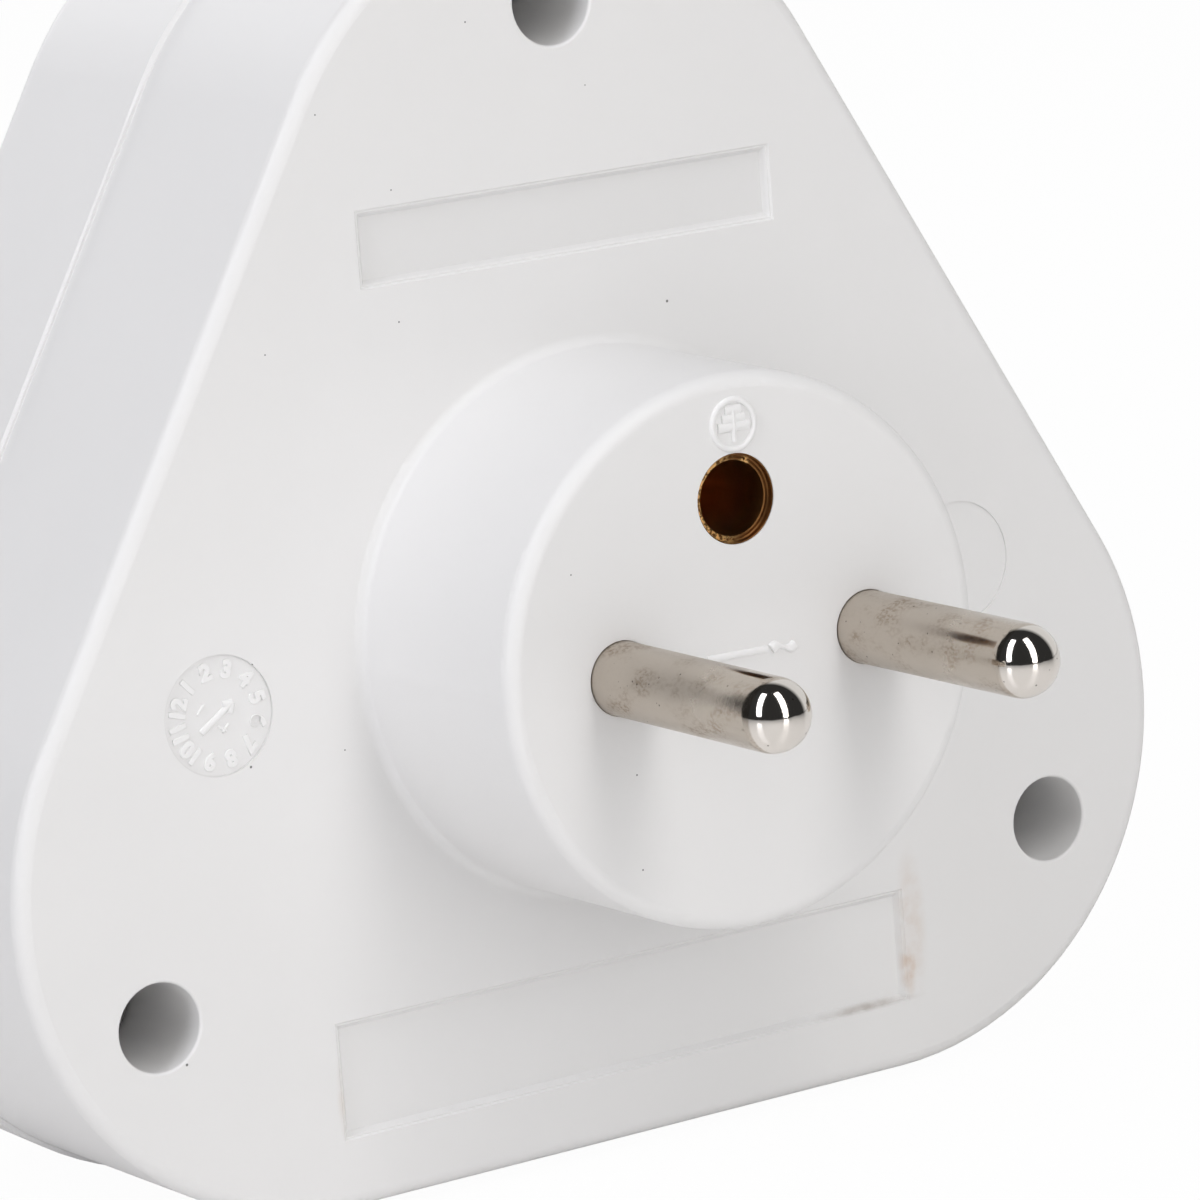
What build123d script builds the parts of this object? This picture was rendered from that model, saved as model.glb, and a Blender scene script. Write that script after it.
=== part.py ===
from build123d import *
from math import cos, radians, sin
import os

# A three-way earthed adapter: a rounded triangular block with a two-pin plug on its back and three
# round socket wells on its front. It stands on its flat bottom side. X runs to the right seen from the
# socket side, Y runs from the sockets (-Y) to the plug pins (+Y), Z runs up to the apex.

# Body
seam_depth = 19.0          # plate face to the parting seam
side_margin = 4.4          # side of the block to the wells beside it
corner_margin = 3.6        # the block's corner radius beyond a well's
cover_step = 0.35          # the cover stands this much inside the housing at the seam
draft = 0.6                # degrees, both shells
cover_wall = 2.0
plate_thickness = 1.8
plate_edge_radius = 1.0
housing_wall = 2.4
face_edge_radius = 2.2
seam_chamfer = 0.2
lip_height = 1.4
lip_thickness = 0.9
lip_clearance = 0.08

# Plug side
boss_height = 17.2
boss_radius = 18.05
boss_draft = 0.7
boss_edge_radius = 1.0
boss_root_radius = 0.7
boss_wall = 2.1
boss_face_thickness = 2.8
pin_radius = 2.4
pin_length = 19.0
pin_spacing = 19.0
pin_clearance = 0.04
pin_shoulder_radius = 2.6  # where a pin passes through its wall
pin_collar_radius = 3.8
pin_collar_thickness = 1.2
pin_stem_radius = 2.0
neck_radius = 1.4
rivet_radius = 2.1
rivet_height = 0.6
earth_height = 10.0        # earth contact above the pins' line
earth_tube_radius = 2.9
earth_tube_bore = 2.5
earth_tube_recess = 0.35
earth_tube_depth = 15.3
earth_tube_slit = 0.5
earth_tube_slit_length = 12.2
earth_cone_height = 1.0    # from the stem out to the tube
earth_stem_radius = 1.6
holder_thickness = 4.0
holder_clearance = 0.15
stem_clearance = 0.15
earth_stem_clearance = 0.45

# Marks moulded in the plate
panel_depth = 0.5
panel_slope = 0.4
panel_rim = 0.12           # chamfer along the panels' upper edges
screw_well_rim = 0.2
upper_panel_length = 32.0
lower_panel_length = 45.2
upper_panel_width = 4.9
lower_panel_width = 7.7
panel_offset = 26.9
disc_radius = 3.95
disc_depth = 0.15
disc_offset = 29.2
disc_drop = 1.2
gate_radius = 4.2
gate_depth = 0.12

# Screws
screw_inset = 7.9          # from a corner of the block
screw_well_radius = 2.95
screw_tube_wall = 1.5
screw_seat_depth = 11.0
screw_seat_thickness = 2.0
screw_hole_radius = 1.7
screw_post_radius = 3.6
screw_shank_radius = 1.4
screw_thread_clearance = 0.05
screw_length = 8.9
screw_head_radius = 2.7
screw_head_height = 1.9
screw_slot_width = 0.8
screw_slot_length = 3.4
screw_slot_depth = 1.0
screw_tip_length = 1.2

# Sockets
well_radius = 19.7
well_depth = 15.0
well_floor = 2.0
well_wall = 1.9
well_rim = 0.8
well_land = 0.2846         # half the flat between two wells' rims
contact_hole_radius = 2.65
contact_hole_rim = 0.7
socket_earth_length = 14.0
socket_earth_flange_radius = 3.4
socket_earth_flange = 0.8

# Shutters
shutter_length = 27.0
shutter_height = 4.8
shutter_clearance = 0.1
shutter_margin = 0.95      # cover beyond the hole's edge
shutter_lip = 0.9
shutter_land = 1.4
shutter_bridge = 3.4
shutter_shoulder = 10.2
shutter_travel = 6.2
guide_wall = 1.2
guide_clearance = 0.3
guide_start = 19.0
guide_overrun = 1.6        # guides run on past the open shutter
spring_seat = 1.2
spring_seat_width = 5.0
spring_radius = 1.5
spring_wire = 0.2
spring_turns = 4
peg_radius = 0.95
peg_length = 1.6

# Conductors
bar_thickness = 0.8
ring_inner = 13.6
ring_outer = 18.4
eye_radius = 5.6
arm_width = 6.0
pole_gap = 3.0             # insulating ring between the two poles
bar_gap = 1.6              # plate to the live bar
tab_radius = 3.4
tab_overlap = 1.0
insulator_inner = 12.8
insulator_outer = 19.4
earth_hub_radius = 5.4
sheet = 0.5
clip_width = 6.4
clip_span = 8.0
clip_throat = 4.6
clip_mouth = 6.6
clip_throat_height = 2.6
live_clip_height = 9.0
clip_hole_clearance = 0.12

# Contact carrier
carrier_inradius = 28.6
carrier_corner = 21.2
carrier_thickness = 1.5
carrier_hole_radius = 3.0
chamber_wall = 1.2
chamber_gap = 0.5
pillar_radius = 2.5
pillar_circle = 26.0

# Depths in front of the plate face: the stack from the plate to the socket face
live_bar_depth = plate_thickness + bar_gap
neutral_bar_depth = live_bar_depth + bar_thickness + pole_gap
clip_entry = live_bar_depth + bar_thickness + live_clip_height
carrier_back = clip_entry - sheet
carrier_front = carrier_back + carrier_thickness
shutter_back = carrier_front + shutter_clearance
shutter_front = shutter_back + shutter_height
floor_back = shutter_front + shutter_clearance
floor_front = floor_back + well_floor
body_depth = floor_front + well_depth

# The block's outline is drawn round the three wells
socket_circle = (well_radius + well_rim + well_land) / cos(radians(30))
housing_inradius = socket_circle / 2 + well_radius + side_margin
housing_corner = well_radius + corner_margin
corner_reach = 2 * housing_inradius - housing_corner
screw_circle = corner_reach - screw_inset

# Worked out from these
axis_height = housing_inradius
cover_inradius = housing_inradius - cover_step
cover_corner = housing_corner - cover_step
boss_bore = boss_radius - boss_wall
pin_tip = boss_height + pin_length
pin_root = boss_height - boss_face_thickness
socket_angles = (90, 210, 330)
hole_half = pin_spacing / 2
shutter_inner = socket_circle - contact_hole_radius - shutter_margin
shutter_outer = socket_circle + contact_hole_radius + shutter_margin
spring_outer = screw_circle - screw_post_radius - spring_seat
guide_end = shutter_outer + shutter_travel + guide_overrun
spring_depth = shutter_back + spring_radius + 2 * spring_wire

os.makedirs("parts", exist_ok=True)


# Plane across the block at a depth in front of the plate face, seen from the sockets; local x runs
# outwards at the given angle
def level(depth, angle=0):
    along = Vector(cos(radians(angle)), 0, sin(radians(angle)))
    return Plane(origin=(0, -depth, axis_height), x_dir=along, z_dir=(0, -1, 0))


# Plane along a socket's radius: local x runs outwards, local y runs towards the plug pins
def radial(angle):
    outwards = Vector(cos(radians(angle)), 0, sin(radians(angle)))
    return Plane(origin=(0, 0, axis_height), x_dir=outwards, z_dir=outwards.cross(Vector(0, 1, 0)))


# Plane on an axis parallel to the pins: local x runs along the given angle, local y towards the pins
def axial(x, z, angle=0):
    along = Vector(cos(radians(angle)), 0, sin(radians(angle)))
    origin = (x, 0, axis_height + z)
    return Plane(origin=origin, x_dir=along, z_dir=along.cross(Vector(0, 1, 0)))


# Plane that faces outwards along a socket's radius
def facing(angle, radius, depth):
    x, z = place(angle, radius)
    along = Vector(cos(radians(angle)), 0, sin(radians(angle)))
    return Plane(origin=(x, -depth, axis_height + z), x_dir=(0, 1, 0), z_dir=along)


# Row x and z (from the plug axis) of a point given by a socket's radius and its sideways offset
def place(angle, radius, sideways=0):
    x = radius * cos(radians(angle)) - sideways * sin(radians(angle))
    z = radius * sin(radians(angle)) + sideways * cos(radians(angle))
    return x, z


# Rounded triangle with its apex up
def triangle(plane, inradius, corner):
    with BuildSketch(plane) as section:
        RegularPolygon(radius=inradius, side_count=3, major_radius=False, rotation=90)
        fillet(section.vertices(), corner)
    return section.sketch


# Contact positions: seen from the sockets with the earth pin up, live is the right one
live_places = [place(angle, socket_circle, hole_half) for angle in socket_angles]
neutral_places = [place(angle, socket_circle, -hole_half) for angle in socket_angles]
screw_places = [place(angle, screw_circle) for angle in socket_angles]
pillar_places = [place(angle + 60, pillar_circle) for angle in socket_angles]
socket_places = [place(angle, socket_circle) for angle in socket_angles]
socket_earth_places = [place(angle, socket_circle - earth_height) for angle in socket_angles]


def save(node, name):
    node.part.label = name
    export_step(node.part, f"parts/{name}.step")


# Back cover: plate, side wall, hollow boss for the plug pins, screw tubes and clamping pillars
with BuildPart() as back_cover:
    outline = triangle(level(seam_depth), cover_inradius, cover_corner)
    extrude(outline, amount=seam_depth, dir=(0, 1, 0), taper=draft)
    plate_edges = back_cover.faces().sort_by(Axis.Y)[-1].edges()
    fillet(plate_edges, plate_edge_radius)
    with BuildSketch(level(0)):
        Circle(boss_radius + boss_height * sin(radians(boss_draft)))
    extrude(amount=boss_height, dir=(0, 1, 0), taper=boss_draft)
    boss_edge = back_cover.edges().filter_by(GeomType.CIRCLE).sort_by(Axis.Y)[-1]
    fillet(boss_edge, boss_edge_radius)
    root_edges = back_cover.edges().filter_by(GeomType.CIRCLE)
    fillet(root_edges.filter_by(lambda e: abs(e.center().Y) < 0.001), boss_root_radius)
    hollow = triangle(level(seam_depth), cover_inradius - cover_wall, cover_corner - cover_wall)
    hollow_depth = seam_depth - plate_thickness
    extrude(hollow, amount=hollow_depth, dir=(0, 1, 0), taper=draft, mode=Mode.SUBTRACT)
    with BuildSketch(level(plate_thickness)):
        Circle(boss_bore)
    extrude(amount=plate_thickness + pin_root, dir=(0, 1, 0), mode=Mode.SUBTRACT)
    # Lip that locates the cover inside the front housing
    lip_inradius = housing_inradius - housing_wall + lip_thickness
    lip_corner = housing_corner - housing_wall + lip_thickness
    with BuildSketch(level(seam_depth - cover_wall)) as lip:
        RegularPolygon(radius=lip_inradius, side_count=3, major_radius=False, rotation=90)
        fillet(lip.vertices(), lip_corner)
        offset(amount=-lip_thickness, mode=Mode.SUBTRACT)
    extrude(amount=cover_wall + lip_height)
    # Screw tubes and clamping pillars
    with BuildSketch(level(plate_thickness)):
        with Locations(*screw_places):
            Circle(screw_well_radius + screw_tube_wall)
    extrude(amount=screw_seat_depth + screw_seat_thickness - plate_thickness)
    with BuildSketch(level(plate_thickness)):
        with Locations(*pillar_places):
            Circle(pillar_radius)
    extrude(amount=carrier_back - plate_thickness)
    with BuildSketch(level(0)):
        with Locations(*screw_places):
            Circle(screw_well_radius)
    extrude(amount=screw_seat_depth, mode=Mode.SUBTRACT)
    with BuildSketch(level(screw_seat_depth)):
        with Locations(*screw_places):
            Circle(screw_hole_radius)
    extrude(amount=screw_seat_thickness, mode=Mode.SUBTRACT)
    # Holes for the pins and the earth contact
    with BuildSketch(level(-pin_root)):
        with Locations((-hole_half, 0), (hole_half, 0)):
            Circle(pin_shoulder_radius + pin_clearance)
        with Locations((0, earth_height)):
            Circle(earth_tube_radius + pin_clearance)
    extrude(amount=-boss_face_thickness, mode=Mode.SUBTRACT)
    # Sunk panels with sloping sides, the date disc and the gate mark
    for length, width, side in (
        (upper_panel_length, upper_panel_width, 1),
        (lower_panel_length, lower_panel_width, -1),
    ):
        for depth, widening, narrowing in ((panel_rim, panel_rim, 0), (panel_depth, 0, panel_slope)):
            with BuildSketch(level(0)):
                with Locations((0, side * panel_offset)):
                    Rectangle(length + 2 * widening, width + 2 * widening)
            with BuildSketch(level(depth)):
                with Locations((0, side * panel_offset)):
                    Rectangle(length - 2 * narrowing, width - 2 * narrowing)
            loft(mode=Mode.SUBTRACT)
    mouths = back_cover.edges().filter_by(GeomType.CIRCLE).filter_by(lambda e: abs(e.center().Y) < 0.001)
    fillet(mouths.filter_by(lambda e: abs(e.radius - screw_well_radius) < 0.01), screw_well_rim)
    with BuildSketch(level(0)):
        with Locations((disc_offset, -disc_drop)):
            Circle(disc_radius)
    extrude(amount=disc_depth, mode=Mode.SUBTRACT)
    with BuildSketch(level(0)):
        with Locations((-disc_offset, -disc_drop)):
            Circle(gate_radius)
    extrude(amount=gate_depth, mode=Mode.SUBTRACT)
save(back_cover, "back_cover")

# Front housing: outer wall and face, three socket wells with their floors, posts and shutter guides
with BuildPart() as front_housing:
    outline = triangle(level(seam_depth), housing_inradius, housing_corner)
    extrude(outline, amount=body_depth - seam_depth, taper=draft)
    fillet(front_housing.faces().sort_by(Axis.Y)[0].edges(), face_edge_radius)
    chamfer(front_housing.faces().sort_by(Axis.Y)[-1].edges(), seam_chamfer)
    # Hollow behind the face, between the wells and the outer wall
    hollow = triangle(level(seam_depth), housing_inradius - housing_wall, housing_corner - housing_wall)
    extrude(hollow, amount=body_depth - seam_depth - housing_wall, mode=Mode.SUBTRACT)
    # Rebate for the cover's lip
    rebate_wall = housing_wall - lip_thickness - lip_clearance
    rebate = triangle(level(seam_depth), housing_inradius - rebate_wall, housing_corner - rebate_wall)
    extrude(rebate, amount=lip_height + lip_clearance, mode=Mode.SUBTRACT)
    # Socket wells: closed cylinders in the hollow, bored from the face
    with BuildSketch(level(floor_back)):
        with Locations(*socket_places):
            Circle(well_radius + well_wall)
    extrude(amount=body_depth - floor_back - housing_wall / 2)
    with BuildSketch(level(body_depth)):
        with Locations(*socket_places):
            Circle(well_radius)
    extrude(amount=-well_depth, mode=Mode.SUBTRACT)
    rims = front_housing.edges().filter_by(GeomType.CIRCLE).group_by(Axis.Y)[0]
    fillet(rims.filter_by(lambda e: abs(e.radius - well_radius) < 0.01), well_rim)
    # Screw posts, shutter guides and spring seats behind the floors
    with BuildSketch(level(floor_back)):
        with Locations(*screw_places):
            Circle(screw_post_radius)
    extrude(amount=screw_seat_depth + screw_seat_thickness - floor_back)
    for angle in socket_angles:
        with BuildSketch(level(floor_back, angle)):
            for side in (-1, 1):
                across = side * (shutter_length / 2 + guide_clearance + guide_wall / 2)
                with Locations(((guide_start + guide_end) / 2, across)):
                    Rectangle(guide_end - guide_start, guide_wall)
            with Locations((spring_outer + spring_seat, 0)):
                Rectangle(2 * spring_seat, spring_seat_width)
        extrude(amount=carrier_front - floor_back)
    with BuildSketch(level(screw_seat_depth + screw_seat_thickness)):
        with Locations(*screw_places):
            Circle(screw_shank_radius + screw_thread_clearance)
    extrude(amount=screw_length - screw_seat_thickness + screw_thread_clearance, mode=Mode.SUBTRACT)
    # Contact holes with funnel mouths, and seats for the earth pins
    for angle in socket_angles:
        with BuildSketch(level(floor_front, angle)):
            with Locations((socket_circle, hole_half), (socket_circle, -hole_half)):
                Circle(contact_hole_radius)
        extrude(amount=-well_floor, mode=Mode.SUBTRACT)
        with BuildSketch(level(floor_front, angle)):
            with Locations((socket_circle, hole_half), (socket_circle, -hole_half)):
                Circle(contact_hole_radius + contact_hole_rim)
        extrude(amount=-contact_hole_rim, taper=45, mode=Mode.SUBTRACT)
        with BuildSketch(level(floor_front, angle)):
            with Locations((socket_circle - earth_height, 0)):
                Circle(pin_shoulder_radius + pin_clearance)
        extrude(amount=-well_floor, mode=Mode.SUBTRACT)
        with BuildSketch(level(floor_back, angle)):
            with Locations((socket_circle - earth_height, 0)):
                Circle(socket_earth_flange_radius + pin_clearance)
        extrude(amount=socket_earth_flange, mode=Mode.SUBTRACT)
save(front_housing, "front_housing")


# Solid plug pin with a domed tip, a collar behind the boss face and a stem riveted to its bar
def plug_pin(x, bar_depth):
    with BuildPart() as pin:
        with BuildSketch(axial(x, 0)):
            with BuildLine():
                Line((0, pin_tip), (0, -bar_depth - bar_thickness - rivet_height))
                Polyline(
                    (0, -bar_depth - bar_thickness - rivet_height),
                    (rivet_radius, -bar_depth - bar_thickness - rivet_height),
                    (rivet_radius, -bar_depth - bar_thickness),
                    (neck_radius, -bar_depth - bar_thickness),
                    (neck_radius, -bar_depth),
                    (pin_stem_radius, -bar_depth),
                    (pin_stem_radius, pin_root - pin_collar_thickness),
                    (pin_collar_radius, pin_root - pin_collar_thickness),
                    (pin_collar_radius, pin_root),
                    (pin_shoulder_radius, pin_root),
                    (pin_shoulder_radius, boss_height),
                    (pin_radius, boss_height),
                    (pin_radius, pin_tip - pin_radius),
                )
                RadiusArc((pin_radius, pin_tip - pin_radius), (0, pin_tip), -pin_radius)
            make_face()
        revolve(axis=Axis((x, 0, axis_height), (0, 1, 0)))
    return pin


save(plug_pin(hole_half, live_bar_depth), "live_pin")
save(plug_pin(-hole_half, neutral_bar_depth), "neutral_pin")

# Earth contact of the plug: a slit spring tube in the boss face on a stem down to the earth bar
tube_top = boss_height - earth_tube_recess
earth_bar_back = floor_back - bar_thickness
with BuildPart() as earth_tube:
    with BuildSketch(axial(0, earth_height)):
        with BuildLine():
            Polyline(
                (earth_tube_bore, tube_top),
                (earth_tube_bore, tube_top - earth_tube_depth),
                (0, tube_top - earth_tube_depth),
                (0, -floor_back),
                (neck_radius, -floor_back),
                (neck_radius, -earth_bar_back),
                (earth_stem_radius, -earth_bar_back),
                (earth_stem_radius, tube_top - earth_tube_depth - earth_stem_radius),
                (earth_tube_radius, tube_top - earth_tube_depth - earth_stem_radius + earth_cone_height),
                (earth_tube_radius, tube_top),
                close=True,
            )
        make_face()
    revolve(axis=Axis((0, 0, axis_height + earth_height), (0, 1, 0)))
    with BuildSketch(level(-tube_top)):
        with Locations((0, earth_height)):
            Rectangle(2 * (earth_tube_radius + stem_clearance), earth_tube_slit)
    extrude(amount=earth_tube_slit_length, mode=Mode.SUBTRACT)
save(earth_tube, "earth_tube")

# Pin holder: a thick disc inside the boss that clamps the pin collars against the boss face
with BuildPart() as pin_holder:
    with BuildSketch(level(-(pin_root - pin_collar_thickness))):
        Circle(boss_bore - holder_clearance)
        with Locations((-hole_half, 0), (hole_half, 0)):
            Circle(pin_stem_radius + stem_clearance, mode=Mode.SUBTRACT)
        with Locations((0, earth_height)):
            Circle(earth_tube_radius + stem_clearance, mode=Mode.SUBTRACT)
        with PolarLocations(boss_bore, 3, start_angle=30):
            Circle(pin_radius, mode=Mode.SUBTRACT)
    extrude(amount=holder_thickness)
save(pin_holder, "pin_holder")


# Pole bar: a stamped ring with three arms that end in eyes over the contacts, and a tab for its pin
def pole_bar(depth, contact_places, pin_x):
    with BuildPart() as bar:
        with BuildSketch(level(depth)):
            Circle(ring_outer)
            for x, z in contact_places:
                reach = Vector(x, z)
                turn = reach.get_signed_angle(Vector(1, 0), Vector(0, 0, -1))
                with Locations(Location((x / 2, z / 2), turn)):
                    Rectangle(reach.length, arm_width)
                with Locations((x, z)):
                    Circle(eye_radius)
            Circle(ring_inner, mode=Mode.SUBTRACT)
            with Locations((pin_x, 0)):
                Circle(tab_radius)
            inwards = ring_inner + tab_overlap - abs(pin_x)
            with Locations((pin_x + inwards / 2 * (1 if pin_x > 0 else -1), 0)):
                Rectangle(inwards, 2 * tab_radius)
            with Locations((pin_x, 0)):
                Circle(neck_radius, mode=Mode.SUBTRACT)
            with Locations(*contact_places):
                Circle(carrier_hole_radius, mode=Mode.SUBTRACT)
        extrude(amount=bar_thickness)
    return bar


save(pole_bar(live_bar_depth, live_places, hole_half), "live_bar")
save(pole_bar(neutral_bar_depth, neutral_places, -hole_half), "neutral_bar")

# Insulating ring that keeps the two pole bars apart
with BuildPart() as insulating_ring:
    with BuildSketch(level(live_bar_depth + bar_thickness)):
        Circle(insulator_outer)
        Circle(insulator_inner, mode=Mode.SUBTRACT)
    extrude(amount=pole_gap)
save(insulating_ring, "insulating_ring")

# Earth bar: a three-armed plate on the backs of the well floors that joins the earth pins and the tube
with BuildPart() as earth_bar:
    with BuildSketch(level(earth_bar_back)):
        for x, z in socket_earth_places:
            with Locations((x, z)):
                Circle(socket_earth_flange_radius)
            turn = Vector(x, z).get_signed_angle(Vector(1, 0), Vector(0, 0, -1))
            with Locations(Location((x / 2, z / 2), turn)):
                Rectangle(socket_circle - earth_height, 2 * socket_earth_flange_radius)
        Circle(earth_hub_radius)
        with Locations(*socket_earth_places):
            Circle(neck_radius, mode=Mode.SUBTRACT)
        with Locations((0, earth_height)):
            Circle(neck_radius, mode=Mode.SUBTRACT)
    extrude(amount=bar_thickness)
save(earth_bar, "earth_bar")

# Socket earth pins: domed pins that stand in the wells, flanged in the floors and riveted to the bar
for number, (x, z) in enumerate(socket_earth_places, 1):
    with BuildPart() as socket_earth_pin:
        earth_tip = floor_front + socket_earth_length
        with BuildSketch(axial(x, z)):
            with BuildLine():
                Polyline(
                    (0, -earth_tip),
                    (0, -earth_bar_back + rivet_height),
                    (rivet_radius, -earth_bar_back + rivet_height),
                    (rivet_radius, -earth_bar_back),
                    (neck_radius, -earth_bar_back),
                    (neck_radius, -floor_back),
                    (socket_earth_flange_radius, -floor_back),
                    (socket_earth_flange_radius, -floor_back - socket_earth_flange),
                    (pin_shoulder_radius, -floor_back - socket_earth_flange),
                    (pin_shoulder_radius, -floor_front),
                    (pin_radius, -floor_front),
                    (pin_radius, -earth_tip + pin_radius),
                )
                RadiusArc((pin_radius, -earth_tip + pin_radius), (0, -earth_tip), pin_radius)
            make_face()
        revolve(axis=Axis((x, 0, axis_height + z), (0, 1, 0)))
    save(socket_earth_pin, f"socket_earth_pin_{number}")


# Contact clip: a folded U of spring brass under its bar's eye, with two legs that pinch the pin
def contact_clip(x, z, angle, bar_front):
    throat = -clip_entry + clip_throat_height
    with BuildPart() as clip:
        with BuildSketch(axial(x, z, angle + 90)) as legs:
            with BuildLine():
                Polyline(
                    (0, -bar_front),
                    (clip_span / 2, -bar_front),
                    (clip_throat / 2 + sheet, throat),
                    (clip_mouth / 2 + sheet, -clip_entry),
                    (clip_mouth / 2, -clip_entry),
                    (clip_throat / 2, throat),
                    (clip_span / 2 - sheet, -bar_front - sheet),
                    (0, -bar_front - sheet),
                    close=True,
                )
            make_face()
            mirror(about=Plane.YZ)
        extrude(amount=clip_width / 2, both=True)
        with BuildSketch(level(bar_front)):
            with Locations((x, z)):
                Circle(pin_radius + clip_hole_clearance)
        extrude(amount=sheet, mode=Mode.SUBTRACT)
    return clip


for number, angle in enumerate(socket_angles, 1):
    live_x, live_z = live_places[number - 1]
    live_clip = contact_clip(live_x, live_z, angle, live_bar_depth + bar_thickness)
    save(live_clip, f"live_clip_{number}")
    neutral_x, neutral_z = neutral_places[number - 1]
    neutral_clip = contact_clip(neutral_x, neutral_z, angle, neutral_bar_depth + bar_thickness)
    save(neutral_clip, f"neutral_clip_{number}")

# Contact carrier: a moulded plate that closes the shutters in and has a chamber for each clip
chamber_length = clip_span + 2 * chamber_gap
chamber_width = clip_width + 2 * chamber_gap
with BuildPart() as contact_carrier:
    extrude(
        triangle(level(carrier_back), carrier_inradius, carrier_corner),
        amount=carrier_thickness,
    )
    for sideways, top in (
        (hole_half, live_bar_depth + bar_thickness),
        (-hole_half, neutral_bar_depth + bar_thickness),
    ):
        for angle in socket_angles:
            with BuildSketch(level(top, angle)):
                with Locations((socket_circle, sideways)):
                    Rectangle(chamber_width + 2 * chamber_wall, chamber_length + 2 * chamber_wall)
            extrude(amount=carrier_back - top)
            with BuildSketch(level(top, angle)):
                with Locations((socket_circle, sideways)):
                    Rectangle(chamber_width, chamber_length)
            extrude(amount=clip_entry - top + sheet, mode=Mode.SUBTRACT)
            with BuildSketch(level(carrier_back, angle)):
                with Locations((socket_circle, sideways)):
                    Circle(carrier_hole_radius)
            extrude(amount=carrier_thickness, mode=Mode.SUBTRACT)
    with BuildSketch(level(carrier_back)):
        with Locations((0, earth_height)):
            Circle(earth_stem_radius + earth_stem_clearance)
    extrude(amount=carrier_thickness, mode=Mode.SUBTRACT)
save(contact_carrier, "contact_carrier")

# Shutters: sliders behind the floors whose ramps the plug's pins push outwards, with their springs
for number, angle in enumerate(socket_angles, 1):
    with BuildPart() as shutter:
        with BuildSketch(radial(angle)):
            with BuildLine():
                Polyline(
                    (shutter_inner, -shutter_back),
                    (shutter_outer, -shutter_back),
                    (shutter_outer, -shutter_front),
                    (shutter_outer - shutter_land, -shutter_front),
                    (shutter_inner, -shutter_back - shutter_lip),
                    close=True,
                )
            make_face()
        extrude(amount=shutter_length / 2, both=True)
        with BuildSketch(level(shutter_back + shutter_bridge, angle)):
            with Locations((socket_circle, 0)):
                Rectangle(2 * (shutter_outer - shutter_inner), shutter_shoulder)
        extrude(amount=shutter_height, mode=Mode.SUBTRACT)
        with BuildSketch(facing(angle, shutter_outer, spring_depth)):
            Circle(peg_radius)
        extrude(amount=peg_length)
    save(shutter, f"shutter_{number}")
    with BuildPart() as shutter_spring:
        free = spring_outer - shutter_outer - 2 * spring_wire
        first = facing(angle, shutter_outer + spring_wire, spring_depth)
        with BuildLine():
            coil = Helix(
                pitch=free / spring_turns,
                height=free,
                radius=spring_radius,
                center=first.origin,
                direction=first.z_dir,
            )
        with BuildSketch(Plane(origin=coil @ 0, z_dir=coil % 0)):
            Circle(spring_wire)
        sweep()
    save(shutter_spring, f"shutter_spring_{number}")

# Cover screws: three self-tapping screws with cross-slotted heads, seated deep in the cover's tubes
with BuildPart() as cover_screws:
    for x, z in screw_places:
        with BuildSketch(axial(x, z)):
            with BuildLine():
                Polyline(
                    (0, -screw_seat_depth + screw_head_height),
                    (0, -screw_seat_depth - screw_length),
                    (screw_shank_radius, -screw_seat_depth - screw_length + screw_tip_length),
                    (screw_shank_radius, -screw_seat_depth),
                    (screw_head_radius, -screw_seat_depth),
                    (screw_head_radius, -screw_seat_depth + screw_head_height),
                    close=True,
                )
            make_face()
        revolve(axis=Axis((x, 0, axis_height + z), (0, 1, 0)))
    with BuildSketch(level(screw_seat_depth - screw_head_height)):
        with Locations(*screw_places):
            Rectangle(screw_slot_length, screw_slot_width)
            Rectangle(screw_slot_width, screw_slot_length)
    extrude(amount=screw_slot_depth, mode=Mode.SUBTRACT)
save(cover_screws, "cover_screws")
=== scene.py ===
from math import cos, pi, radians, sin

import bpy
from mathutils import Matrix, Vector


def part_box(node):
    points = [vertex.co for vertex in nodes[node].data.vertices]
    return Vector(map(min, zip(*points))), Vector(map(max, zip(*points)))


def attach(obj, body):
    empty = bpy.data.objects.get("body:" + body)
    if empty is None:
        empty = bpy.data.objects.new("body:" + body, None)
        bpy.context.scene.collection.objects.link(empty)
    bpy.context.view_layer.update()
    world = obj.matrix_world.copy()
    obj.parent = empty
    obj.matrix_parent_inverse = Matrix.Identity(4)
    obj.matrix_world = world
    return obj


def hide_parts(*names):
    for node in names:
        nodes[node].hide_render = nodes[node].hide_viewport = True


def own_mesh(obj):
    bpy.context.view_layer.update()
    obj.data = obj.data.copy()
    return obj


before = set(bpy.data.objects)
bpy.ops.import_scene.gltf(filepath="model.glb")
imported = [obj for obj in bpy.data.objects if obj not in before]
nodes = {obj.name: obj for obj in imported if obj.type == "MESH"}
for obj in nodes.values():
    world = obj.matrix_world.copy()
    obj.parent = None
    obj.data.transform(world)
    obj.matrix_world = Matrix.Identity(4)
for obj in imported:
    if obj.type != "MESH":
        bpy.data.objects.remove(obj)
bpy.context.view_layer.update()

# Front housing: the outer shell with the three socket wells, injection moulded in satin white. The
# fine texture of the mould dulls the shine. It is the base that everything else is laid into.
mm = 0.001
axis_height = 36.1  # plug axis above the floor


class Wire:
    """A socket in a finish's node tree that Python's operators work on."""

    def __init__(self, finish, socket):
        self.finish = finish
        self.socket = socket

    def math(self, operation, *values):
        return self.finish.node("Math", {"operation": operation}, *values)

    def __add__(self, other):
        return self.math("ADD", self, other)

    def __radd__(self, other):
        return self.math("ADD", other, self)

    def __sub__(self, other):
        return self.math("SUBTRACT", self, other)

    def __rsub__(self, other):
        return self.math("SUBTRACT", other, self)

    def __mul__(self, other):
        return self.math("MULTIPLY", self, other)

    def __rmul__(self, other):
        return self.math("MULTIPLY", other, self)

    def __or__(self, other):
        return self.math("MAXIMUM", self, other)


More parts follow.
